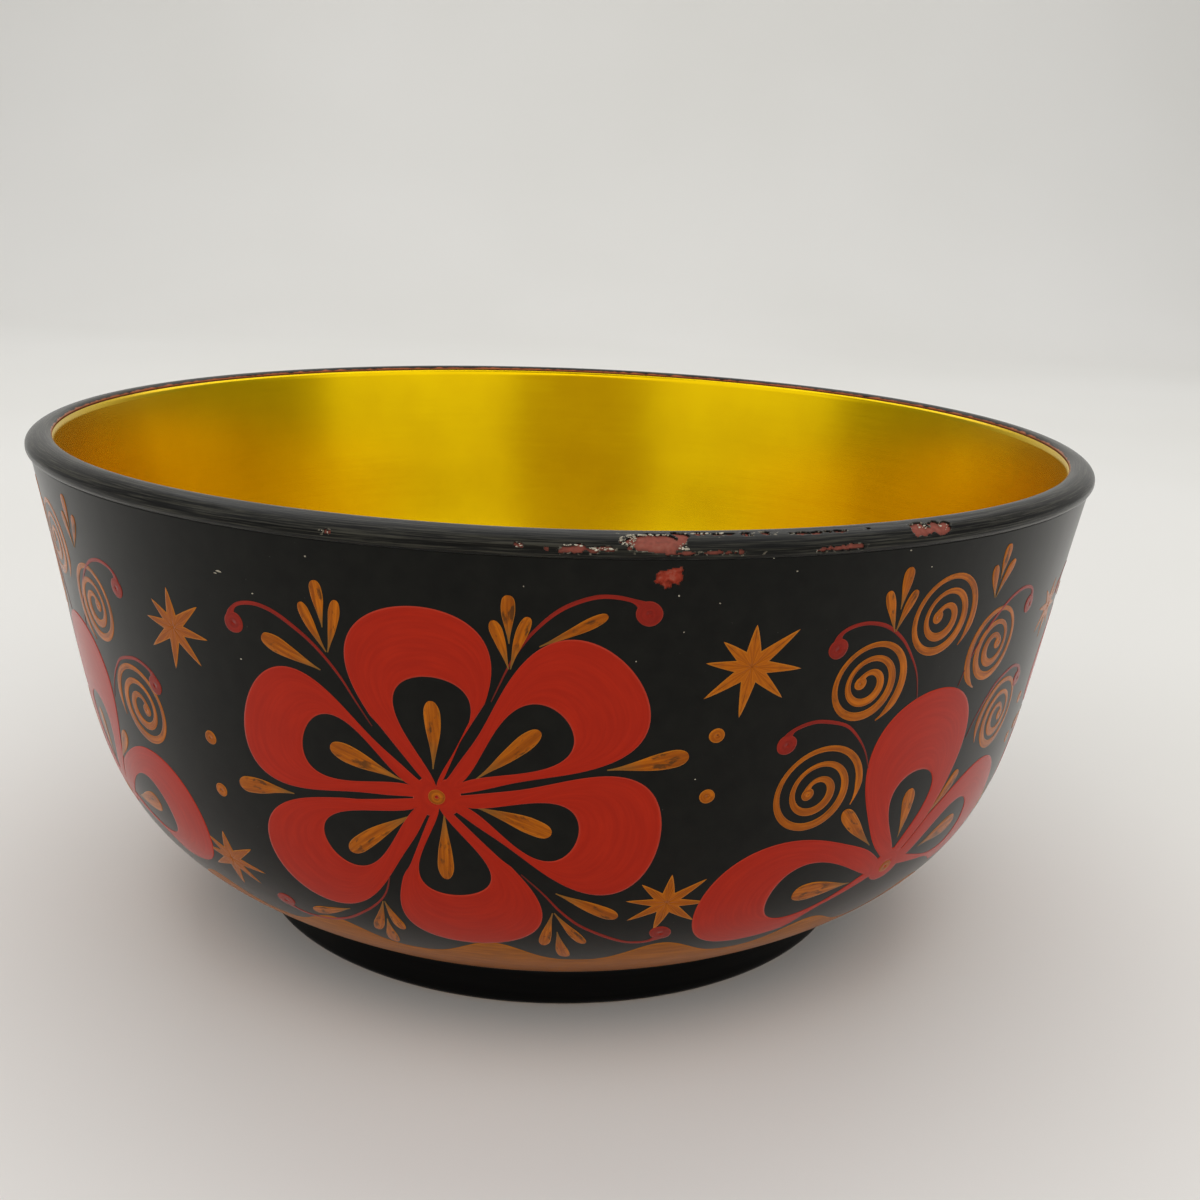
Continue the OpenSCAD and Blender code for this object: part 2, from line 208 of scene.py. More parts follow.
# The same in the black of the wall, with its place up the wall
WALL_CHIPS = [[8.3, 74.75, 1.45, 0.95], [8.9, 75.8, 0.5, 0.3]]
# The turns between which the lip and the wall are chipped, and the mesh's step there
LIP_WORN, WALL_WORN, FINE_STEP = (-20, 38), (4, 13), 0.12


def fine_turns(first, last, fine, coarse):
    """Turns round the whole bowl, close together between first and last."""
    rest = round((first + 360 - last) / coarse)
    return np.r_[np.arange(first, last, fine), np.linspace(last, first + 360, rest, endpoint=False)]


def ragged(points, size):
    """Noise between about -1 and 1 whose lumps are about size across."""
    return np.array([noise.noise(Vector(p) / size) for p in points])


def chip_edge(line, turns, chips, radius):
    """Millimetres from each point of a coat to the nearest chip's edge, less than 0 inside the chip."""
    run = run_along(line)
    turn, across = np.meshgrid(turns, run)
    edge = np.full(turn.shape, 9.0)
    for chip_turn, chip_across, half_length, half_height in chips:
        u = (turn - chip_turn) * math.radians(radius) / half_length
        v = (across - chip_across) / half_height
        edge = np.minimum(edge, (np.hypot(u, v) - 1) * min(half_length, half_height))
    near = edge < 1.5
    at = np.stack([turn[near] * math.radians(radius), across[near], 0 * turn[near]], axis=1)
    edge[near] += 0.42 * ragged(at, 1.1) + 0.2 * ragged(at, 0.4)
    return edge


def worn_coat(line, turns, chips, radius):
    """A coat with its chips cut through it, and the layer "edge" of distances to them."""
    edge = chip_edge(line, turns, chips, radius)
    corner = np.minimum(edge, np.roll(edge, -1, axis=1))
    keep = np.minimum(corner[1:], corner[:-1]) > 0
    points, faces, layers = coat(line, 0, COAT_LAID, turns, keep)
    layers["edge"] = np.tile(edge.ravel(), 2)
    return points, faces, layers


# --------------------------------------------------------------------------------- brush strokes
# A motif is [turn round the bowl, length up the wall, size]; places in it are millimetres, x to the
# right round the wall and y up it.
FLOWER_Z = 42.4
FAN_Z = 26.6
FULL, LESS = 1, 0.94
flower_run = float(np.interp(FLOWER_Z, wall_up[:, 1], wall_run))
fan_run = float(np.interp(FAN_Z, wall_up[:, 1], wall_run))
FLOWERS = [[-10.4, flower_run, FULL], [81, flower_run, LESS], [169.6, flower_run, LESS],
           [258, flower_run, LESS]]
FANS = [[37.8, fan_run, FULL], [125.6, fan_run, LESS], [213.4, fan_run, LESS], [301.6, fan_run, FULL]]


def laid(motif, places, lift):
    turn, run, size = motif
    runs = run + size * places[..., 1]
    r = np.interp(runs, wall_run, wall_up[:, 0])
    return on_wall(turn + np.degrees(size * places[..., 0] / r), runs, lift)


class Strokes:
    """Brush strokes that make one piece: each is a thin closed shell of paint with a domed top."""

    SUNK = -0.03        # how deep its underside goes into the ground
    LEVEL = 0.55        # what the lacquer leaves of the paint's relief

    def __init__(self, seed):
        self.rng = np.random.default_rng(seed)
        self.points, self.faces, self.stroke, self.place = [], [], [], []
        self.count = 0

    def add(self, motif, grid, base, film, dome, along, across, place, closed=False):
        """grid is rows by columns of places. base is the paint's height at its edge and film what it
        gains where dome is 1, before the lacquer levels them. along, across and place are what the
        finish needs to know."""
        rows, columns = grid.shape[:2]
        tops = laid(motif, grid, self.LEVEL * (base + film * dome)).reshape(-1, 3)
        bottoms = laid(motif, grid, self.SUNK).reshape(-1, 3)
        flat = grid_faces(rows, columns, closed)
        n = rows * columns
        i = np.arange(rows if closed else rows - 1)
        sides = []
        for j in (0, columns - 1):
            a, b = i * columns + j, (i + 1) % rows * columns + j
            sides.append(np.stack([a, b, b + n, a + n], axis=1))
        if not closed:
            j = np.arange(columns - 1)
            for row in (0, rows - 1):
                a = row * columns + j
                sides.append(np.stack([a, a + 1, a + 1 + n, a + n], axis=1))
        self.faces.append(np.vstack([flat, flat[:, ::-1] + n, *sides]) + self.count)
        self.points += [tops, bottoms]
        mark = np.full((rows, columns), self.rng.uniform(0, 50))
        stroke = np.stack([along + 0 * mark, across + 0 * mark, mark], axis=-1).reshape(-1, 3)
        place = np.stack([place[0] + 0 * mark, place[1] + 0 * mark, mark], axis=-1).reshape(-1, 3)
        self.stroke += [stroke, stroke]
        self.place += [place, place]
        self.count += 2 * n

    def piece(self, name, material, slot, *nodes):
        layers = {"stroke": np.vstack(self.stroke), "place": np.vstack(self.place)}
        new_piece(name, np.vstack(self.points), np.vstack(self.faces), layers, material, slot, *nodes)


def bulge(t, full):
    return t ** ((full + 1) / 2) * np.sqrt(np.clip(1 - t, 0, 1))


def swell(t, full):
    """Half-width of a drop over its widest, from its point at t = 0 to its round head at t = 1."""
    return bulge(t, full) / bulge((full + 1) / (full + 2), full)


def hand(rng, count, cycles, closed=False):
    """A painter's unsteadiness along a stroke: slow waves between about -1 and 1."""
    t = np.linspace(0, 2 * math.pi, count, endpoint=not closed)
    waves = [np.sin((k + 1) * t + rng.uniform(0, 7)) * rng.uniform(0.3, 1) for k in range(cycles)]
    return np.sum(waves, axis=0) / cycles


ACROSS = np.array([-1, -0.9, -0.55, 0, 0.55, 0.9, 1])


def ribbon(paint, motif, line, half, base, film):
    """A stroke along a line of places, half wide on each side."""
    way = np.gradient(line, axis=0)
    side = np.stack([-way[:, 1], way[:, 0]], axis=1) / np.linalg.norm(way, axis=1)[:, None]
    half = half * (1 + 0.08 * hand(paint.rng, len(line), 4))
    grid = line[:, None] + half[:, None, None] * ACROSS[None, :, None] * side[:, None]
    dome = np.sqrt(1 - np.abs(ACROSS) ** 3)[None] * np.clip(half / half.max(), 0.25, 1)[:, None]
    run = run_along(line)
    paint.add(motif, grid, base, film, dome, run[:, None], half[:, None] * ACROSS,
              (run[:, None] / run[-1], ACROSS[None]))


def drop(paint, motif, point, head, width, base, full=2.2):
    """A drop pressed down from a fine point to a round head, with a slight sway."""
    point, head = np.array(point, float), np.array(head, float)
    t = (1 - np.cos(np.linspace(0.02, math.pi, 22))) / 2
    way = head - point
    sway = np.array([-way[1], way[0]]) * paint.rng.uniform(-0.03, 0.03)
    line = point + t[:, None] * way + np.sin(math.pi * t)[:, None] * sway
    ribbon(paint, motif, line, width / 2 * swell(t, full) + 0.07, base, 0.07)


def leaf_edge(leaf, a):
    """Places round a petal's outline, from [axis, start, length, width, fullness]."""
    axis, start, length, width, full = leaf
    t = (1 - np.cos(a)) / 2
    u = start + length * t
    v = np.sign(np.sin(a)) * width / 2 * swell(t, full)
    c, s = math.cos(math.radians(axis)), math.sin(math.radians(axis))
    return np.stack([u * c - v * s, u * s + v * c], axis=1)


PETAL_STOPS = 96
PETAL_ACROSS = np.array([0, 0.025, 0.09, 0.24, 0.42, 0.6, 0.77, 0.91, 0.975, 1])


def petal(paint, motif, leaf, heart, room):
    """A petal painted round its heart, which shows the ground. room is the angles it has on its left
    and its right: it broadens towards its point to fill them, all but a hair line of ground."""
    a = np.linspace(0, 2 * math.pi, PETAL_STOPS, endpoint=False)
    outer, inner = leaf_edge(leaf, a), leaf_edge(heart, a)
    c, s = math.cos(math.radians(leaf[0])), math.sin(math.radians(leaf[0]))
    u, v = outer[:, 0] * c + outer[:, 1] * s, outer[:, 1] * c - outer[:, 0] * s
    wide = np.abs(v) + 0.95 * np.exp(-(np.clip(u - 4, 0, None) / 4.6) ** 2) * np.clip((u - 1.3) / 0.6, 0, 1)
    wedge = u * np.tan(np.radians(np.where(v > 0, *room))) - 0.15 - 0.03 * np.clip(u - 3, 0, None)
    wedge += 0.12 * np.clip(u - 9, 0, None) ** 2
    v = np.sign(v) * np.clip(np.minimum(wide, wedge), 0.02, None)
    outer = np.stack([u * c - v * s, u * s + v * c], axis=1)
    middle = np.mean(outer, axis=0)
    outer = middle + (outer - middle) * (1 + 0.008 * hand(paint.rng, PETAL_STOPS, 5, True))[:, None]
    middle = np.mean(inner, axis=0)
    inner = middle + (inner - middle) * (1 + 0.015 * hand(paint.rng, PETAL_STOPS, 4, True))[:, None]
    u = PETAL_ACROSS
    grid = outer[:, None] * (1 - u)[None, :, None] + inner[:, None] * u[None, :, None]
    wide = np.linalg.norm(inner - outer, axis=1)
    along = run_along(np.vstack([grid[:, 4], grid[:1, 4]]))[:-1]
    v = 2 * u - 1
    paint.add(motif, grid, 0.04, 0.05, np.sqrt(1 - v ** 8)[None], along[:, None],
              wide[:, None] * u[None], (((1 - np.cos(a)) / 2)[:, None], v[None]), closed=True)


def disc(paint, motif, centre, radius, base, film=0.06, stops=28, rings=(0.02, 0.4, 0.75, 0.93, 1)):
    """A dab: a round dome of paint. radius may be an array, one value for each of its stops."""
    a = np.linspace(0, 2 * math.pi, stops, endpoint=False)
    radius = (radius + 0 * a) * (1 + 0.05 * hand(paint.rng, stops, 4, True))
    out = np.stack([np.cos(a), np.sin(a)], axis=1) * radius[:, None]
    u = np.array(rings)
    grid = np.array(centre, float) + out[:, None] * u[None, :, None]
    paint.add(motif, grid, base, film, np.sqrt(1 - u ** 4)[None] + 0 * a[:, None], (a * radius)[:, None],
              radius[:, None] * u[None], (1, u[None]), closed=True)


def smooth_line(places, step=0.35):
    """A flowing line through given places."""
    p = np.array(places, float)
    p = np.vstack([2 * p[0] - p[1], p, 2 * p[-1] - p[-2]])
    t = np.linspace(0, 1, 12, endpoint=False)[:, None]
    parts = [b + 0.5 * t * (c - a + t * (2 * a - 5 * b + 4 * c - d + t * (3 * b - a - 3 * c + d)))
             for a, b, c, d in zip(p, p[1:], p[2:], p[3:])]
    return spaced(np.vstack([*parts, p[-2:-1]]), step)


def tendril(paint, motif, places, bulb, bulb_r):
    """A thin curl that ends in a bulb, where the brush was pressed down and twisted."""
    line = smooth_line([*places, bulb])
    run = run_along(line)
    half = 0.06 + 0.18 * np.clip(run / run[-1] * 1.6, 0, 1)
    half += 0.35 * bulb_r * np.clip((bulb_r + 1.2 - run[-1] + run) / 1.6, 0, 1) ** 2
    ribbon(paint, motif, line, half, 0.05, 0.06)
    disc(paint, motif, bulb, bulb_r, 0.06, film=0.07)


def coil(paint, motif, centre, radius, turns, first, way):
    """A coil wound outwards from a blob. The brush lies broad below and to the inner side of the
    motif, where it is pulled, and narrow opposite."""
    t = spaced(np.linspace(0, 1, 400)[:, None], 0.4 / (math.pi * radius * turns))[:, 0]
    a = np.radians(first) + way * t * turns * 2 * math.pi
    r = 1.1 + (radius - 1.1) * t * (1 + 0.03 * hand(paint.rng, len(t), 6))
    line = np.array(centre, float) + np.stack([np.cos(a), np.sin(a)], axis=1) * r[:, None]
    broad = np.radians(-50 if way < 0 else 230)
    half = 0.46 + 0.15 * np.cos(a - broad) + 0.42 * np.exp(-(t / 0.035) ** 2)
    half += 0.04 * hand(paint.rng, len(t), 9)
    half *= np.clip((1 - t) / 0.03, 0.15, 1) * np.clip(t / 0.008 + 0.3, 0, 1)
    ribbon(paint, motif, line, half, 0.03, 0.07)
    disc(paint, motif, line[0], 0.85, 0.03)


# The length and the direction of each ray
STAR_RAYS = [[6.4, -5], [6.6, 36.5], [5.4, 88], [5.3, 139], [5.7, 173], [6.3, 215], [6.3, 262.5], [6.1, 315]]
STAR_WAIST = 2.1


def star(paint, motif, centre):
    """Eight strokes flicked outwards from one middle, each running to a point."""
    side = np.linspace(-1, 1, 16, endpoint=False)
    s = np.abs(side)
    count = len(STAR_RAYS)
    length, way = np.array(STAR_RAYS).T
    length = length * paint.rng.uniform(0.94, 1.06, count)
    way = np.radians(way + paint.rng.uniform(-3, 3, count))
    before, after = np.roll(way, 1), np.roll(way, -1)
    before[0] -= 2 * math.pi
    after[-1] += 2 * math.pi
    half = np.where(side < 0, ((way - before) / 2)[:, None], ((after - way) / 2)[:, None])
    radius = length[:, None] + (STAR_WAIST - length[:, None]) * s
    lean = np.arcsin(STAR_WAIST * math.sin(math.pi / 8) * s ** 0.8 / radius) / (math.pi / 8)
    a = (way[:, None] + np.sign(side) * lean * half).ravel()
    radius = radius.ravel()
    out = np.stack([np.cos(a), np.sin(a)], axis=1)
    u = np.array([0.02, 0.25, 0.5, 0.75, 0.93, 1])
    grid = np.array(centre, float) + out[:, None] * (radius[:, None] * u)[..., None]
    paint.add(motif, grid, 0.02, 0.06, np.sqrt(1 - u ** 4)[None] * np.clip(1.3 - radius / 7, 0.3, 1)[:, None],
              radius[:, None] * u[None], (np.tile(s, count) * 3)[:, None],
              (radius[:, None] * u[None] / 7, u[None]), closed=True)


# ------------------------------------------------------------------------------------- the pattern
# Each petal is [axis, start, length, width, fullness] for its outline and for its heart
FLOWER_PETALS = [
    [[96, 1.3, 22.8, 17, 1.3], [91, 1.3, 14.2, 9, 1.9]],
    [[38, 1.3, 26.9, 16.4, 2], [37, 3.7, 14.9, 8.2, 2]],
    [[-13.5, 1.3, 25.2, 17.2, 2], [-17, 3.6, 13.3, 8.2, 2]],
    [[-79.5, 1.3, 22.9, 17.5, 1.3], [-81.5, 1.4, 13, 8.8, 1.9]],
    [[-144, 1.4, 25, 16.5, 1.6], [-144.5, 3.2, 13.8, 7.9, 2]],
    [[161, 1.3, 24.5, 16.2, 2], [159.5, 3.4, 14, 8.5, 2]]]
# Each drop is its point, its head and its width
FLOWER_DROPS = [[[-0.3, 3.7], [-0.3, 12.5], 1.8], [[4.6, 2.8], [12, 9.6], 1.9],
                [[4.4, -0.9], [13.2, -4.2], 2.2], [[0.8, -2], [0.6, -11.8], 1.8],
                [[-2.7, -2.7], [-11.4, -9.6], 2.2], [[-4, 1.7], [-12.9, 5], 2.3]]
FLOWER_SIDE_DROPS = [[[-13.4, 14.7], [-21, 17.8], 2], [[12, 20.1], [19.4, 24.1], 1.2],
                     [[19.6, 4.7], [29, 6.4], 2.2], [[-18.5, -2.8], [-26.9, -3.4], 2.2],
                     [[13.6, -13], [20.9, -17.2], 1.9], [[-13, -20.2], [-19, -23], 1.6]]
# Each sprig is its foot and the heads of its left, middle and right leaves
FLOWER_SPRIGS = [[[-12.4, 17.1], [-15.4, 22.9], [-13.4, 25.8], [-10.9, 23.7]],
                 [[8.7, 17.2], [6.9, 23], [8.7, 26.1], [10.9, 23.6]],
                 [[13.2, -16.4], [11.5, -23.4], [13.9, -27], [16.6, -22.8]],
                 [[-7.9, -17.2], [-9.9, -24.1], [-8.1, -27.4], [-6.1, -22.8]]]
FLOWER_TENDRILS = [
    [[-7.4, 8.4], [-9.2, 11.3], [-10.9, 14.1], [-12.8, 16.5], [-15, 18.6], [-18, 20.6], [-20.2, 21.5],
     [-22.2, 21.7], [-24.2, 21.2], [-25.2, 20]],
    [[6.6, 13], [8.6, 17.5], [10, 20], [11.5, 22], [13.5, 24], [15.5, 25.3], [18, 26.2], [20, 26.3],
     [22, 25.9], [23.2, 25.2]],
    [[9.6, -10.2], [12, -13], [14, -16], [16, -18.5], [18, -20.2], [20, -21.7], [22, -22.8], [24.2, -22.9],
     [25.7, -22]],
    [[-6.3, -11], [-7.2, -15], [-8.7, -17.7], [-11.2, -20.4], [-14, -22.9], [-17, -24.4], [-20.3, -24.9],
     [-22.5, -24]]]
FLOWER_BULBS = [[-24.9, 18.8], [23.9, 24.3], [26.2, -20.9], [-23.3, -22.5]]
FLOWER_BULB_R = [1.35, 1.5, 1.4, 1.4]

FAN_PETALS = [
    [[91, 1.4, 25.6, 19, 0.9], [90, 2.6, 12.7, 8, 1.6]],
    [[180.5, 1.4, 27.6, 18.2, 0.8], [181, 4, 15.3, 9.8, 1.3]],
    [[12, 1.4, 24.6, 17.2, 0.8], [11, 4, 13.6, 9, 1.3]]]
# The angles that each petal has on its left and its right
FAN_ROOM = [[44.5, 40.2], [26, 44.5], [40.2, 26]]
FAN_DROPS = [[[0, 5], [-0.6, 12.7], 2.1], [[-6.2, -1], [-15.6, -0.3], 3.1], [[6.4, 1.2], [14.6, 3.2], 2.9]]
FAN_SIDE_DROPS = [[[-5.4, 5.3], [-11.9, 12.1], 1.9], [[5.2, 7], [10.2, 12.6], 1.7]]
FAN_SPRIGS = [[[-10.7, 36.3], [-13.1, 41.7], [-10.7, 44.5], [-8.7, 41.4]],
              [[7.4, 38], [5.6, 42.6], [7.6, 45.2], [10, 42.8]]]
LEFT_TENDRILS = [
    [[-9.6, 17.6], [-11, 20.5], [-13, 23], [-15, 24.6], [-18, 25.5], [-20, 25.6], [-22, 25], [-22.8, 24.1]],
    [[-4, 26.4], [-5, 29.5], [-6.5, 32], [-9, 35], [-12, 37.1], [-15, 37.9], [-17.5, 37.6], [-18.8, 36.6]]]
LEFT_BULBS = [[-22.8, 23], [-18.6, 35]]
# Each coil is its centre, radius, turns, first angle and way
FAN_COILS = [[[-17.2, 15.8], 6.6, 2.6, 190, -1], [[-13.1, 29.8], 5.9, 2.65, 170, -1],
             [[-2.8, 37], 6.1, 2.6, 170, -1], [[10.4, 30.8], 6, 2.65, 10, 1], [[18.1, 18.7], 6, 2.6, -10, 1]]


def flipped(places):
    return [[-x, y] for x, y in places]


FAN_TENDRILS = LEFT_TENDRILS + [flipped(line) for line in LEFT_TENDRILS]
FAN_BULBS = LEFT_BULBS + flipped(LEFT_BULBS)
FAN_BULB_R = 1.3

# Each is the turn from its flower, the rise from the flower's centre and the size
FRONT_STARS = [[26.5, 17.4, 1], [-26.1, 16, 0.92], [21.6, -15, 0.86], [-25.2, -17, 0.86]]
OTHER_STARS = [[22.4, 17, 0.85], [-21.2, 16, 0.8], [17.6, -15.4, 0.5], [-23, -14.6, 0.55]]
FRONT_DOTS = [[24.2, 8.8], [24, 0.7], [-23.6, 2], [-23.5, -5.4]]
OTHER_DOTS = [[21.6, 8.4], [21.4, 0.7], [-21.4, 2], [-21.2, -4.4]]
DOT_R = 0.95
HEART_DOT_R = 1
HUB_R = 2.9

# The border's low edge and its troughs as lengths up the wall, and the turn of its first peak
SCALLOPS = 20
BORDER_LOW = 6.5
BORDER_TROUGH = 17.9
SCALLOP_RISE = 4.8
SCALLOP_FIRST = -6


# --------------------------------------------------------------------------------------- finishes
def colour(hex_text):
    """A linear colour from an sRGB hex value."""
    parts = [int(hex_text[i:i + 2], 16) / 255 for i in (1, 3, 5)]
    return [c / 12.92 if c <= 0.04045 else ((c + 0.055) / 1.055) ** 2.4 for c in parts] + [1]


def add(tree, kind, inputs=None, stops=(), **settings):
    """Adds one node with its settings, its values and its links. An input's value may be another
    node, one of its sockets, a number or a hex colour. stops are a ramp's colours, or its greys."""
    node = tree.nodes.new("ShaderNode" + kind)
    for key, value in settings.items():
        setattr(node, key, value)
    for key, value in (inputs or {}).items():
        if isinstance(value, bpy.types.Node):
            value = next(socket for socket in value.outputs if socket.enabled)
        if isinstance(value, bpy.types.NodeSocket):
            tree.links.new(value, node.inputs[key])
        else:
            node.inputs[key].default_value = colour(value) if isinstance(value, str) else value
    for number, (at, value) in enumerate(stops):
        ramp = node.color_ramp.elements
        stop = ramp[number] if number < len(ramp) else ramp.new(at)
        stop.position = at
        stop.color = colour(value) if isinstance(value, str) else (value, value, value, 1)
    return node


def new_finish(name):
    finish = bpy.data.materials.new(name)
    finish.use_nodes = True
    finish.node_tree.nodes.clear()
    return finish, finish.node_tree


def grain(tree, layer, scale, detail=3, rough=0.55):
    """Noise over one of a mesh's own layers, stretched by the scale of each of its directions."""
    place = add(tree, "Attribute", attribute_name=layer).outputs["Vector"]
    stretched = add(tree, "VectorMath", {0: place, 1: scale}, operation="MULTIPLY")
    return add(tree, "TexNoise", {"Vector": stretched, "Scale": 1, "Detail": detail, "Roughness": rough})


def lacquered(tree, paint, height=None, bump=0.2, rough=0.4, coat=1.0, coat_rough=0.25, **values):
    """The paint's own surface under a clear lacquer coat, and the material's output. The old coat is
    thin and soaked in, so it bends light less than fresh lacquer, and the paint under it has no gloss.
    Fine dust and wear make it milky where it turns away from the eye: that is the sheen."""
    inputs = {"Base Color": paint, "Roughness": rough, "Specular IOR Level": 0.03,
              "Coat Weight": coat, "Coat Roughness": coat_rough, "Coat IOR": 1.17,
              "Sheen Weight": 0.065 * coat, "Sheen Roughness": 0.35, **values}
    if height is not None:
        inputs["Normal"] = add(tree, "Bump", {"Height": height, "Strength": bump, "Distance": 0.05 * MM})
    add(tree, "OutputMaterial", {"Surface": add(tree, "BsdfPrincipled", inputs)})


def bare_linden():
    """Linden wood, turned and sanded: pale cream, with faint long fibres."""
    finish, tree = new_finish("bare_linden")
    place = add(tree, "TexCoord").outputs["Object"]
    # Fibres about 0.4 mm apart, 25 times as long as they are wide
    fibres = add(tree, "VectorMath", {0: place, 1: (100, 2500, 2500)}, operation="MULTIPLY")
    streak = add(tree, "TexNoise", {"Vector": fibres, "Scale": 1, "Detail": 5})
    wood = add(tree, "ValToRGB", {0: streak}, [(0.3, "#B8935E"), (0.55, "#D0AF7C"), (0.75, "#DCC193")])
    lacquered(tree, wood, streak, bump=0.5, rough=0.6, coat=0.0)
    return finish


def clay_primer():
    """Clay and linseed oil rubbed into the wood: dull brick red, chalky where it was scraped."""
    finish, tree = new_finish("clay_primer")
    place = add(tree, "TexCoord").outputs["Object"]
    blotch = add(tree, "TexNoise", {"Vector": place, "Scale": 1600, "Detail": 5})
    clay = add(tree, "ValToRGB", {0: blotch}, [(0.3, "#6A2418"), (0.5, "#963828"), (0.68, "#9C5444")])
    # The lip's dust: grey-pink on the rim, none lower down
    height = add(tree, "SeparateXYZ", {0: place}).outputs["Z"]
    dust = add(tree, "MapRange", {"Value": height, "From Min": (BOWL_H - 3.6) * MM,
                                  "From Max": (BOWL_H - 2.2) * MM, "To Max": 0.6})
    dusty = add(tree, "Mix", {0: dust, 6: clay, 7: "#7C544A"}, data_type="RGBA")
    lacquered(tree, dusty, blotch, bump=0.8, rough=0.75, coat=0.15, coat_rough=0.5)
    return finish


def chalk_ground():
    """The white filler under the primer, knocked loose in crumbs."""
    finish, tree = new_finish("chalk_ground")
    place = add(tree, "TexCoord").outputs["Object"]
    blotch = add(tree, "TexNoise", {"Vector": place, "Scale": 2500, "Detail": 3})
    chalk = add(tree, "ValToRGB", {0: blotch}, [(0.35, "#8F8878"), (0.6, "#C6C0AE")])
    lacquered(tree, chalk, blotch, bump=0.5, rough=0.85, coat=0.0)
    return finish


def gold_lacquer():
    """Aluminium powder rubbed on and baked under amber lacquer: satin gold, wiped round the bowl."""
    finish, tree = new_finish("gold_lacquer")
    wiped = grain(tree, "turned", (0.05, 0.05, 1.6), detail=4)
    cloudy = grain(tree, "turned", (0.09, 0.09, 0.09), detail=2)
    gold = add(tree, "ValToRGB", {0: wiped}, [(0.3, "#E0BB05"), (0.7, "#E3BF06")])
    cloud = add(tree, "ValToRGB", {0: cloudy}, [(0.35, 0.0), (0.7, 0.35)])
    gold = add(tree, "Mix", {0: cloud, 6: gold, 7: "#D0A806"}, data_type="RGBA")
    rough = add(tree, "ValToRGB", {0: wiped}, [(0.3, 0.25), (0.7, 0.27)])
    lacquered(tree, gold, wiped, bump=0.02, rough=rough, coat=0.1, coat_rough=0.2,
              **{"Metallic": 1.0, "Anisotropic": 0.3, "Specular IOR Level": 0.5})
    return finish


def black_lacquer():
    """Soot-black oil paint under clear lacquer: semi-gloss, with the faint rings of the lathe."""
    finish, tree = new_finish("black_lacquer")
    rings = grain(tree, "turned", (0.03, 0.03, 0.9), detail=4)
    mottle = grain(tree, "turned", (0.4, 0.4, 0.4))
    black = add(tree, "ValToRGB", {0: mottle}, [(0.3, "#090906"), (0.7, "#11110D")])
    # Dust caught in the lacquer, specks about 0.15 mm across
    specks = grain(tree, "turned", (2.4, 2.4, 2.4), detail=1)
    dust = add(tree, "ValToRGB", {0: specks}, [(0.8, 0.0), (0.84, 0.3)])
    black = add(tree, "Mix", {0: dust, 6: black, 7: "#6A6A62"}, data_type="RGBA")
    # The paint tears to a brown edge beside a chip
    edge = add(tree, "Attribute", attribute_name="edge").outputs["Fac"]
    torn = add(tree, "ValToRGB", {0: edge}, [(0.0, 0.5), (0.12, 0.0)])
    black = add(tree, "Mix", {0: torn, 6: black, 7: "#4A2A1C"}, data_type="RGBA")
    lacquered(tree, black, rings, bump=0.25, rough=0.45, coat_rough=0.28)
    return finish


def rim_black():
    """Black brushed thinly round the lip while the bowl turned: streaky and chalky. Its pale grey streaks are
    partly worn paint and partly a painted highlight of the lip's upward face.
    """
    finish, tree = new_finish("rim_black")
    dry = grain(tree, "turned", (0.12, 0.12, 5.5), detail=4, rough=0.65)
    # The palest grey of these streaks is partly a painted highlight: the light that the lip's top reflects,
    # laid into its colour
    black = add(tree, "ValToRGB", {0: dry}, [(0.36, "#040403"), (0.5, "#151512"), (0.64, "#38372F")])
    # Rubbed through to the primer along the gold
    across = add(tree, "SeparateXYZ", {0: add(tree, "Attribute", attribute_name="turned").outputs["Vector"]})
    fray = grain(tree, "turned", (0.5, 0.5, 0.5))
    inner = add(tree, "Math", {0: across.outputs["Z"], 1: fray}, operation="ADD")
    rubbed = add(tree, "ValToRGB", {0: inner}, [(0.62, 1.0), (0.86, 0.0)])
    black = add(tree, "Mix", {0: rubbed, 6: black, 7: "#A8603C"}, data_type="RGBA")
    # Crumbs of the chalk ground, rubbed into the black along the chips
    edge = add(tree, "Attribute", attribute_name="edge").outputs["Fac"]
    near = add(tree, "ValToRGB", {0: edge}, [(0.0, 0.5), (0.2, 0.0)])
    crumbs = grain(tree, "turned", (2.2, 2.2, 2.6), detail=2)
    crumbs = add(tree, "ValToRGB", {0: crumbs}, [(0.54, 0.0), (0.6, 1.0)])
    chalk = add(tree, "Math", {0: near, 1: crumbs}, operation="MULTIPLY")
    black = add(tree, "Mix", {0: chalk, 6: black, 7: "#B9B09A"}, data_type="RGBA")
    lacquered(tree, black, dry, bump=0.9, rough=0.45, coat=0.9, coat_rough=0.24)
    return finish


def foot_black():
    """The same black on the foot, thinner and rubbed matt by the table."""
    finish, tree = new_finish("foot_black")
    rings = grain(tree, "turned", (0.04, 0.04, 2.2), detail=4)
    black = add(tree, "ValToRGB", {0: rings}, [(0.3, "#060606"), (0.7, "#0D0D0C")])
    lacquered(tree, black, rings, bump=0.4, rough=0.5, coat=0.45, coat_rough=0.35)
    return finish


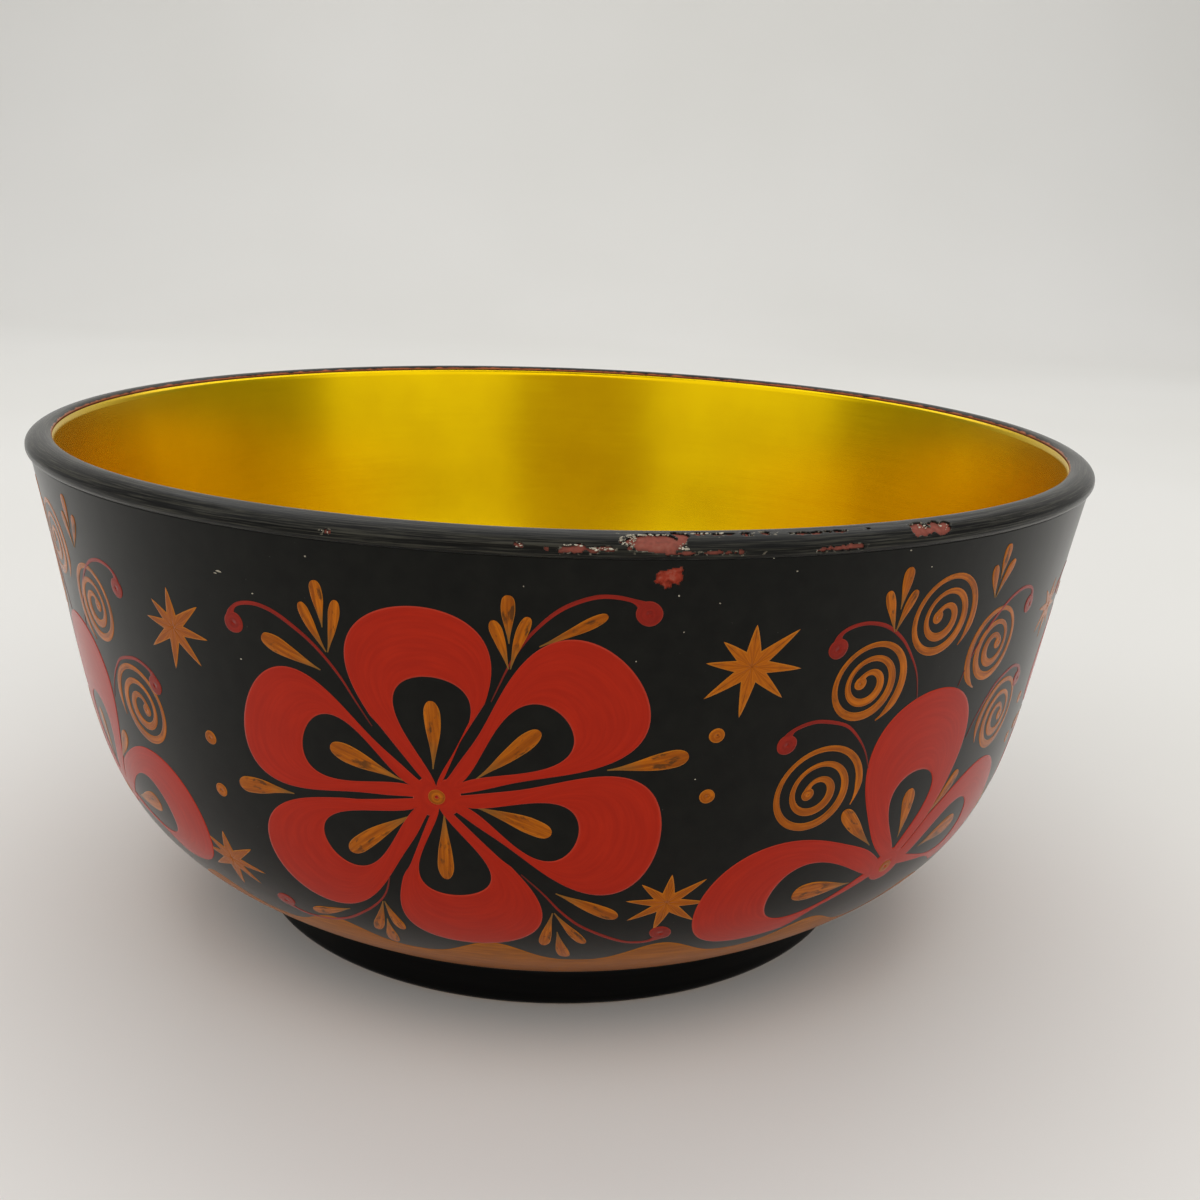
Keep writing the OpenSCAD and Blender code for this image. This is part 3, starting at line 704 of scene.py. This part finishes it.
def brushed_paint(name, full, deep, thin, edge, smudge=0.0, thin_until=0.0, streak=2.2, edge_from=0.94,
                  coat=1.0):
    """Oil paint laid with one loaded brush under clear lacquer. full is its covering colour and deep
    the hollows between the bristles' tracks; thin is its tail, where the ground greys it; edge is the
    ridge that the brush pushed aside; smudge is how much of the ground shows where it ran short."""
    finish, tree = new_finish(name)
    tracks = grain(tree, "stroke", (0.16, streak, 1), detail=4, rough=0.6)
    paint = add(tree, "ValToRGB", {0: tracks}, [(0.38, deep), (0.62, full)])
    patches = grain(tree, "stroke", (0.22, 0.5, 1), detail=2)
    patches = add(tree, "ValToRGB", {0: patches}, [(0.35, 0.45), (0.62, 0.0)])
    paint = add(tree, "Mix", {0: patches, 6: paint, 7: deep}, data_type="RGBA")
    place = add(tree, "SeparateXYZ", {0: add(tree, "Attribute", attribute_name="place").outputs["Vector"]})
    if smudge:
        gaps = grain(tree, "stroke", (0.55, 1.3, 1), rough=0.6)
        gaps = add(tree, "ValToRGB", {0: gaps}, [(0.54, 0.0), (0.64, smudge)])
        middle = add(tree, "ValToRGB", {0: place.outputs["X"]},
                     [(0.3, 0.0), (0.5, 1.0), (0.85, 1.0), (0.98, 0.0)])
        amount = add(tree, "Math", {0: gaps, 1: middle}, operation="MULTIPLY")
        paint = add(tree, "Mix", {0: amount, 6: paint, 7: "#3A2810"}, data_type="RGBA")
    side = add(tree, "Math", {0: place.outputs["Y"]}, operation="ABSOLUTE")
    ridge = add(tree, "ValToRGB", {0: side}, [(edge_from - 0.03, 0.0), (edge_from + 0.03, 0.75)])
    paint = add(tree, "Mix", {0: ridge, 6: paint, 7: edge}, data_type="RGBA")
    if thin_until:
        tail = add(tree, "ValToRGB", {0: place.outputs["X"]}, [(0.0, 0.9), (thin_until, 0.0)])
        paint = add(tree, "Mix", {0: tail, 6: paint, 7: thin}, data_type="RGBA")
    lacquered(tree, paint, tracks, bump=0.15, rough=0.45, coat_rough=0.26, coat=coat)
    return finish


# -------------------------------------------------------------------------------- the turned coats
even_turns = np.linspace(0, 360, 360, endpoint=False)
rim_turns = fine_turns(*LIP_WORN, FINE_STEP, 1)
wall_turns = fine_turns(*WALL_WORN, FINE_STEP, 1)

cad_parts["wooden_body"].data.materials.clear()
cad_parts["wooden_body"].data.materials.append(bare_linden())

primer_line = np.vstack([spaced(lip_line, 0.5), spaced(wall_line, 2), foot_line])
primer_in = np.vstack([spaced(inner_line, 2)[:-1], primer_line])
points, faces, layers = coat(primer_in, COAT_T, PRIMER_LAID, even_turns)
new_piece("clay_primer_coat", points, faces, layers, clay_primer(), "clay_primer", "primer_coat")

points, faces, layers = coat(spaced(inner_line, 1), 0, COAT_LAID, even_turns)
new_piece("gilded_inside", points, faces, layers, gold_lacquer(), "gold_lacquer", "gold_lining")

# The black stops short of the gold and leaves a hair line of primer
HAIR_LINE = 0.2
lip_chips = [[turn, across - HAIR_LINE, *size] for turn, across, *size in RIM_CHIPS]
lip_rows = at_runs(lip_line, np.arange(HAIR_LINE, lip_run[-1], 0.13))
points, faces, layers = worn_coat(lip_rows, rim_turns, lip_chips, RIM_R)
new_piece("black_lip", points, faces, layers, rim_black(), "black_lacquer", "rim_band")

CHIPPED_DOWN = 6
wall_rows = at_runs(wall_line, np.r_[np.arange(0, CHIPPED_DOWN, 0.16),
                                     np.linspace(CHIPPED_DOWN, WALL_LENGTH, 64)])
wall_chips = [[turn, WALL_LENGTH - run, length, height] for turn, run, length, height in WALL_CHIPS]
points, faces, layers = worn_coat(wall_rows, wall_turns, wall_chips, RIM_R)
new_piece("black_wall", points, faces, layers, black_lacquer(), "black_lacquer", "black_ground")

points, faces, layers = coat(spaced(foot_line, 0.4), 0, COAT_LAID, even_turns)
new_piece("black_foot", points, faces, layers, foot_black(), "black_foot_lacquer", "foot_coat")

points, faces, layers = coat(spaced(under_line, 1), 0, COAT_LAID, even_turns)
new_piece("black_underside", points, faces, layers, foot_black(), "black_foot_lacquer", "underside_coat")

# Crumbs of chalk: the places they lie in, as turn, place across the lip, half-length, half-height and
# how many, then the single ones on the wall as turn, place up the wall, length and breadth
LIP_CRUMBS = [
    [4.9, 3.4, 0.9, 1, 60], [6.6, 2.5, 2.2, 0.14, 22], [9.1, 4.3, 0.5, 0.5, 10], [11.2, 2.2, 2.4, 0.14, 26],
    [2.8, 4.56, 1.5, 0.14, 24], [0.8, 4.24, 1.2, 0.08, 14], [30.4, 3, 1.5, 0.7, 8], [33, 3.6, 1.1, 0.5, 6],
    [-3.3, 4.5, 0.4, 0.2, 5], [-18.4, 4.6, 0.5, 0.2, 3], [150, 3.6, 2.5, 0.4, 12],
    [236, 4.4, 1.5, 0.3, 8]]
WALL_CRUMBS = [
    [-29.5, 71.2, 1.3, 0.3], [-29.9, 70.9, 0.8, 0.16], [-20.6, 74.8, 0.35, 0.3], [-26.2, 69.2, 0.3, 0.22],
    [-28.5, 60.4, 0.4, 0.24], [-12.9, 65.2, 0.34, 0.24], [9.9, 68.3, 0.24, 0.2], [6.2, 64.8, 0.2, 0.2],
    [12.3, 49.4, 0.26, 0.18], [12.6, 71.7, 0.3, 0.2], [9.2, 72.7, 0.24, 0.24], [16.6, 76.9, 0.3, 0.2],
    [18.8, 75.2, 0.3, 0.24], [32.5, 74.1, 0.3, 0.2], [29.6, 76.6, 0.4, 0.2], [-2.9, 73.5, 0.2, 0.2],
    [97, 70.4, 0.5, 0.2], [188, 62, 0.4, 0.24], [262, 73, 0.6, 0.2]]
# Sizes of the lip's crumbs, and how common each is
CRUMB_SIZES, CRUMB_SHARES = [0.12, 0.16, 0.2, 0.3, 0.42], [0.3, 0.3, 0.2, 0.14, 0.06]


def crumbs(name, material):
    """Every crumb as a small closed lump with a broken outline, sunk a little into the coat."""
    rng = np.random.default_rng(29)
    lumps = [(on_wall, *crumb, wall_up[:, 0].max()) for crumb in WALL_CRUMBS]
    for turn, across, half_length, half_height, count in LIP_CRUMBS:
        for _ in range(count):
            a, far = rng.uniform(0, 2 * math.pi), math.sqrt(rng.uniform())
            size = rng.choice(CRUMB_SIZES, p=CRUMB_SHARES)
            place = (turn + math.degrees(far * math.cos(a) * half_length / RIM_R),
                     across + far * math.sin(a) * half_height)
            lumps.append((on_lip, *place, size * rng.uniform(1, 1.9), size * rng.uniform(0.6, 1), RIM_R))
    points, faces = [], []
    sides = 8
    for laid_on, turn, run, length, breadth, radius in lumps:
        a = np.linspace(0, 2 * math.pi, sides, endpoint=False) + rng.uniform(0, 1)
        out = rng.uniform(0.55, 1, sides) / 2
        turns = turn + np.degrees(np.r_[0, 0, out * length * np.cos(a)] / radius)
        runs = run + np.r_[0, 0, out * breadth * np.sin(a)]
        first = len(points) * (sides + 2)
        points.append(laid_on(turns, runs, np.r_[-0.2, 0.05, np.full(sides, 0.01)]))
        i = np.arange(sides)
        ring, following = first + 2 + i, first + 2 + (i + 1) % sides
        faces += [np.stack([ring, following, first + 1 + 0 * i], 1),
                  np.stack([following, ring, first + 0 * i], 1)]
    new_piece(name, np.vstack(points), np.vstack(faces), {}, material, None)


crumbs("chalk_crumbs", chalk_ground())

# ----------------------------------------------------------------------------------- the brushwork
paint = Strokes(seed=3)
turns = np.arange(0, 360, 0.5)
tops = BORDER_TROUGH + SCALLOP_RISE * ((1 + np.cos(np.radians(turns - SCALLOP_FIRST) * SCALLOPS)) / 2) ** 1.4
tops += 0.48 * hand(paint.rng, len(turns), 40, True)
u = np.r_[0, 0.01, 0.05, np.linspace(0.12, 0.9, 12), 0.96, 0.99, 1]
runs = BORDER_LOW + (tops[:, None] - BORDER_LOW) * u
radii = np.interp(runs, wall_run, wall_up[:, 0])
grid = np.stack([np.radians(turns)[:, None] * radii, runs], axis=-1)
paint.add([0, 0, 1], grid, 0.01, 0.035, np.sqrt(1 - (2 * u - 1) ** 10)[None],
          np.radians(turns)[:, None] * RIM_R, runs, (0.5, (2 * u - 1)[None]), closed=True)
border_ochre = brushed_paint("border_ochre", "#A25C06", "#8A4C04", "#7A5A30", "#A86414", streak=1.6,
                             edge_from=0.97, coat=0.5)
paint.piece("scalloped_border_band", border_ochre, "border_ochre", "scalloped_border")

paint = Strokes(seed=5)
axes = np.array([leaf[0] for leaf, heart in FLOWER_PETALS])
between = (axes - np.roll(axes, -1)) % 360 / 2
flower_room = list(zip(np.roll(between, 1), between))
# The petals' points meet in a hub, except where the upper and lower hearts run in almost to the middle
hub_a = np.linspace(0, 360, 48, endpoint=False)
hub = HUB_R - 1.5 * np.exp(-((hub_a - 88) / 15) ** 2) - 1.4 * np.exp(-((hub_a - 279) / 15) ** 2)
for motif in FLOWERS:
    for (leaf, heart), room in zip(FLOWER_PETALS, flower_room):
        petal(paint, motif, leaf, heart, room)
    disc(paint, motif, [0, 0], hub, 0.05, film=0.05, stops=48)
for motif in FANS:
    for (leaf, heart), room in zip(FAN_PETALS, FAN_ROOM):
        petal(paint, motif, leaf, heart, room)
    disc(paint, motif, [0, 0.4], HUB_R, 0.05, film=0.05)
cinnabar = brushed_paint("cinnabar_red", "#A82208", "#9C1D06", "#7A2A20", "#B23C28", streak=1.8,
                         edge_from=0.97)
paint.piece("cinnabar_petals", cinnabar, "cinnabar_red", "red_petals")

paint = Strokes(seed=7)
for motif in FLOWERS:
    for line, bulb, radius in zip(FLOWER_TENDRILS, FLOWER_BULBS, FLOWER_BULB_R):
        tendril(paint, motif, line, bulb, radius)
for motif in FANS:
    for line, bulb in zip(FAN_TENDRILS, FAN_BULBS):
        tendril(paint, motif, line, bulb, FAN_BULB_R)
tendril_red = brushed_paint("tendril_red", "#8C2012", "#78190E", "#5A2018", "#90301F", thin_until=0.3)
paint.piece("curled_tendrils", tendril_red, "tendril_red", "red_tendrils")

ochre = {"full": "#B86404", "deep": "#884301", "thin": "#6E5426", "edge": "#B06A14", "edge_from": 0.9}

paint = Strokes(seed=11)
for motif in FLOWERS:
    for point, head, width in FLOWER_DROPS:
        drop(paint, motif, point, head, width, 0.03)
for motif in FANS:
    for point, head, width in FAN_DROPS:
        drop(paint, motif, point, head, width, 0.03)
leaf_ochre = brushed_paint("leaf_ochre", smudge=0.75, thin_until=0.45, **ochre)
paint.piece("heart_drops", leaf_ochre, "leaf_ochre", "petal_drops")

paint = Strokes(seed=13)
LEAF_W = 1.25
for motifs, sprigs, singles in ((FLOWERS, FLOWER_SPRIGS, FLOWER_SIDE_DROPS),
                                (FANS, FAN_SPRIGS, FAN_SIDE_DROPS)):
    for motif in motifs:
        for sprig in sprigs:
            foot, left, middle, right = np.array(sprig)
            drop(paint, motif, foot - [0.1, 0], left, LEAF_W, 0.06)
            drop(paint, motif, foot + 0.35 * (middle - foot), middle, LEAF_W * 1.15, 0.07)
            drop(paint, motif, foot + [0.1, 0], right, LEAF_W, 0.065)
        for point, head, width in singles:
            drop(paint, motif, point, head, width, 0.06)
paint.piece("three_leaf_sprigs", leaf_ochre, "leaf_ochre", "leaf_sprigs")

paint = Strokes(seed=17)
for motif in FANS:
    for centre, radius, count, first, way in FAN_COILS:
        coil(paint, motif, centre, radius, count, first, way)
coil_ochre = brushed_paint("coil_ochre", smudge=0.3, **ochre)
paint.piece("ochre_coils", coil_ochre, "coil_ochre", "ochre_spirals")

paint = Strokes(seed=19)
dots = Strokes(seed=23)
for number, (turn, run, size) in enumerate(FLOWERS):
    for offset, rise, scale in (FRONT_STARS if number == 0 else OTHER_STARS):
        star(paint, [turn + offset, run, scale], [0, rise / scale])
    for offset, rise in (FRONT_DOTS if number == 0 else OTHER_DOTS):
        disc(dots, [turn + offset, run, 1], [0, rise], DOT_R, 0.02)
for motif in FLOWERS + FANS:
    a = np.linspace(0, 2 * math.pi, 80)
    ribbon(dots, motif, 0.62 * HEART_DOT_R * np.stack([np.cos(a), np.sin(a)], axis=1),
           np.full(80, 0.38 * HEART_DOT_R), 0.12, 0.06)
star_ochre = brushed_paint("star_ochre", smudge=0.3, **ochre)
paint.piece("eight_ray_stars", star_ochre, "coil_ochre", "ochre_stars")
dots.piece("brush_dots", star_ochre, "coil_ochre", "ochre_dots")


# ------------------------------------------------------------------------- floor, light and camera
def sweep():
    """A pale seamless sweep: floor, one broad curve and backdrop."""
    reach, back, curve, tall = 2.2, 0.9, 0.45, 1.8
    bend = np.linspace(0, math.pi / 2, 24)[1:]
    line = [(-1.6, 0), (back, 0)]
    line += [(back + curve * math.sin(a), curve * (1 - math.cos(a))) for a in bend]
    line.append((back + curve, tall))
    verts = [(x, y, z) for x in (-reach, reach) for y, z in line]
    n = len(line)
    mesh = bpy.data.meshes.new("sweep")
    mesh.from_pydata(verts, [], [(i, i + n, i + n + 1, i + 1) for i in range(n - 1)])
    mesh.shade_smooth()
    finish, tree = new_finish("studio_paper")
    place = add(tree, "TexCoord").outputs["Object"]
    faint = add(tree, "TexNoise", {"Vector": place, "Scale": 3, "Detail": 2})
    paper = add(tree, "ValToRGB", {0: faint}, [(0.3, "#E2E1DC"), (0.7, "#E7E6E2")])
    lacquered(tree, paper, rough=0.85, coat=0.0)
    mesh.materials.append(finish)
    paper_sweep = bpy.data.objects.new("sweep", mesh)
    bpy.context.scene.collection.objects.link(paper_sweep)


def softbox(name, turn, rise, distance, size, radiance, tint="#FFFFFF"):
    """A soft light seen from the bowl at a turn and a rise, facing its middle."""
    light = bpy.data.lights.new(name, "AREA")
    light.shape = "RECTANGLE"
    light.size, light.size_y = size
    light.energy = radiance * math.pi * size[0] * size[1]
    light.color = colour(tint)[:3]
    lamp = bpy.data.objects.new(name, light)
    a, e = math.radians(turn), math.radians(rise)
    way = Vector((math.sin(a) * math.cos(e), -math.cos(a) * math.cos(e), math.sin(e)))
    lamp.location = Vector((0, 0, BOWL_H / 2 * MM)) + distance * way
    lamp.rotation_euler = way.to_track_quat("Z", "Y").to_euler()
    bpy.context.scene.collection.objects.link(lamp)


def swung(one, other, angle):
    """Two square directions, the first swung towards the second by an angle in degrees."""
    c, s = math.cos(math.radians(angle)), math.sin(math.radians(angle))
    return one * c + other * s, other * c - one * s


def camera():
    """A camera 23 cm from the bowl's middle, looking down on it by 17 degrees."""
    distance, rise, aim = 231.52, math.radians(17.07), 40
    ahead, right = Vector((0, math.cos(rise), -math.sin(rise))), Vector((1, 0, 0))
    up = right.cross(ahead)
    ahead, right = swung(ahead, right, 1.61)
    ahead, up = swung(ahead, up, 1.39)
    right, up = swung(right, up, 1.82)
    lens = bpy.data.cameras.new("camera")
    lens.sensor_width = 36
    lens.lens = 41.57
    lens.clip_start = 0.01
    view = bpy.data.objects.new("camera", lens)
    place = Vector((0, -distance * math.cos(rise), aim + distance * math.sin(rise))) * MM
    view.matrix_world = Matrix.Translation(place) @ Matrix((right, up, -ahead)).transposed().to_4x4()
    bpy.context.scene.collection.objects.link(view)
    bpy.context.scene.camera = view


sweep()
softbox("left_window", -53, 41, 1.1, (1.3, 1.4), 0.9)
softbox("right_window", 44, 41, 1.1, (1.3, 1.4), 0.92)
softbox("warm_room", -4.5, 35, 1.15, (0.75, 1.4), 0.22, "#FFC890")
softbox("overhead", 178, 62, 1.3, (1.6, 1.3), 1.4)
room = bpy.data.worlds.new("room")
room.use_nodes = True
background = room.node_tree.nodes["Background"].inputs
background["Color"].default_value = colour("#F4F4F6")
background["Strength"].default_value = 0.35
bpy.context.scene.world = room
bpy.context.scene.view_settings.view_transform = "Standard"
camera()
